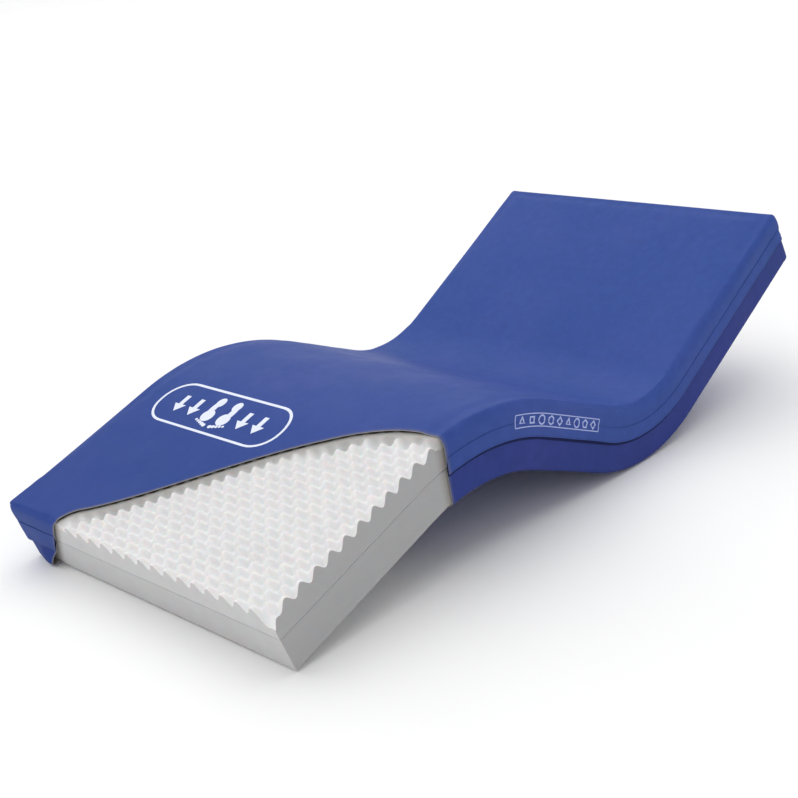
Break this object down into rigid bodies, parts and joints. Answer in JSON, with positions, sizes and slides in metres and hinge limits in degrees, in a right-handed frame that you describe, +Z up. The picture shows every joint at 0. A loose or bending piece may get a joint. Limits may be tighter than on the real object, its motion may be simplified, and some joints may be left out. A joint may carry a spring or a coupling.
{
  "type": "pressure relief mattress",
  "caption": "Foam ward mattress bent for a profiling bed, with a peaked top layer and a zipped stretch cover that is cut away at the foot corner.",
  "frame": {"origin": "on the floor under the middle of the bounding box", "axes": "+X from the foot end to the head end, +Y across the mattress, +Z up"},
  "size_m": [1.8872, 0.88, 0.4676],
  "materials": {
    "cover_top": "satin, coated stretch fabric",
    "cover_base": "satin, heavier coated fabric",
    "storm_flap": "satin, coated fabric",
    "zip": "woven tape and moulded coil",
    "foam_top": "open-cell foam, cut in peaks",
    "foam_base": "open-cell foam",
    "zip_metal": "painted die casting"
  },
  "bodies": {
    "calf": {"foam_base_calf": "foam_base", "foam_top_calf": "foam_top", "cover_base_calf": "cover_base", "cover_top_calf": "cover_top", "zip_calf": "zip", "storm_flap_calf": "storm_flap"},
    "knee_lower": {"foam_base_knee_lower": "foam_base", "foam_top_knee_lower": "foam_top", "cover_base_knee_lower": "cover_base", "cover_top_knee_lower": "cover_top", "zip_knee_lower": "zip", "storm_flap_knee_lower": "storm_flap"},
    "knee_upper": {"foam_base_knee_upper": "foam_base", "foam_top_knee_upper": "foam_top", "cover_base_knee_upper": "cover_base", "cover_top_knee_upper": "cover_top", "zip_knee_upper": "zip", "storm_flap_knee_upper": "storm_flap"},
    "thigh": {"foam_base_thigh": "foam_base", "foam_top_thigh": "foam_top", "cover_base_thigh": "cover_base", "cover_top_thigh": "cover_top", "zip_thigh": "zip", "storm_flap_thigh": "storm_flap"},
    "thigh_fold": {"foam_base_thigh_fold": "foam_base", "foam_top_thigh_fold": "foam_top", "cover_base_thigh_fold": "cover_base", "cover_top_thigh_fold": "cover_top", "zip_thigh_fold": "zip", "storm_flap_thigh_fold": "storm_flap"},
    "seat": {"foam_base_seat": "foam_base", "foam_top_seat": "foam_top", "cover_base_seat": "cover_base", "cover_top_seat": "cover_top", "zip_seat": "zip", "storm_flap_seat": "storm_flap"},
    "back_fold": {"foam_base_back_fold": "foam_base", "foam_top_back_fold": "foam_top", "cover_base_back_fold": "cover_base", "cover_top_back_fold": "cover_top", "zip_back_fold": "zip", "storm_flap_back_fold": "storm_flap"},
    "back": {"foam_base_back": "foam_base", "foam_top_back": "foam_top", "cover_base_back": "cover_base", "cover_top_back": "cover_top", "zip_back": "zip", "storm_flap_back": "storm_flap", "zip_end_stops": "zip_metal"},
    "slider": {"zip_slider": "zip_metal"},
    "pull_tab": {"zip_pull_tab": "zip_metal"}
  },
  "joints": [
    {"name": "thigh_fold", "type": "hinge", "parent": "seat", "child": "thigh_fold", "pos_m": [0.2031, 0, 0.078], "axis": [0, 1, 0], "range_deg": [-11.5, 8], "deforming": ["foam_base_thigh_fold", "foam_top_thigh_fold", "cover_base_thigh_fold", "cover_top_thigh_fold", "zip_thigh_fold", "storm_flap_thigh_fold"]},
    {"name": "thigh_fold_outer", "type": "hinge", "parent": "thigh_fold", "child": "thigh", "pos_m": [0.13068, 0, 0.09273], "axis": [0, 1, 0], "range_deg": [-11.5, 8]},
    {"name": "knee_fold", "type": "hinge", "parent": "thigh", "child": "knee_upper", "pos_m": [-0.18934, 0, 0.22857], "axis": [0, -1, 0], "range_deg": [-14.13, 8], "deforming": ["foam_base_knee_upper", "foam_top_knee_upper", "cover_base_knee_upper", "cover_top_knee_upper", "zip_knee_upper", "storm_flap_knee_upper"]},
    {"name": "knee_fold_middle", "type": "hinge", "parent": "knee_upper", "child": "knee_lower", "pos_m": [-0.32113, 0, 0.24913], "axis": [0, -1, 0], "range_deg": [-14.13, 8], "deforming": ["foam_base_knee_lower", "foam_top_knee_lower", "cover_base_knee_lower", "cover_top_knee_lower", "zip_knee_lower", "storm_flap_knee_lower"]},
    {"name": "knee_fold_outer", "type": "hinge", "parent": "knee_lower", "child": "calf", "pos_m": [-0.45395, 0, 0.23689], "axis": [0, -1, 0], "range_deg": [-14.13, 8]},
    {"name": "back_fold", "type": "hinge", "parent": "seat", "child": "back_fold", "pos_m": [0.28756, 0, 0.078], "axis": [0, -1, 0], "range_deg": [-14.75, 20], "deforming": ["foam_base_back_fold", "foam_top_back_fold", "cover_base_back_fold", "cover_top_back_fold", "zip_back_fold", "storm_flap_back_fold"]},
    {"name": "back_fold_outer", "type": "hinge", "parent": "back_fold", "child": "back", "pos_m": [0.37943, 0, 0.10219], "axis": [0, -1, 0], "range_deg": [-14.75, 20]},
    {"name": "zip_slide", "type": "slide", "parent": "back", "child": "slider", "axis": [0, -1, 0], "range_m": [0, 0.744]},
    {"name": "pull_tab_swing", "type": "hinge", "parent": "slider", "child": "pull_tab", "pos_m": [0.90731, 0.372, 0.40774], "axis": [-0.4924, 0, 0.8704], "range_deg": [0, 175]}
  ],
  "couplings": [
    {"joint": "thigh_fold_outer", "follows": "thigh_fold", "ratio": 1},
    {"joint": "knee_fold_middle", "follows": "knee_fold", "ratio": 1},
    {"joint": "knee_fold_outer", "follows": "knee_fold", "ratio": 1},
    {"joint": "back_fold_outer", "follows": "back_fold", "ratio": 1}
  ]
}
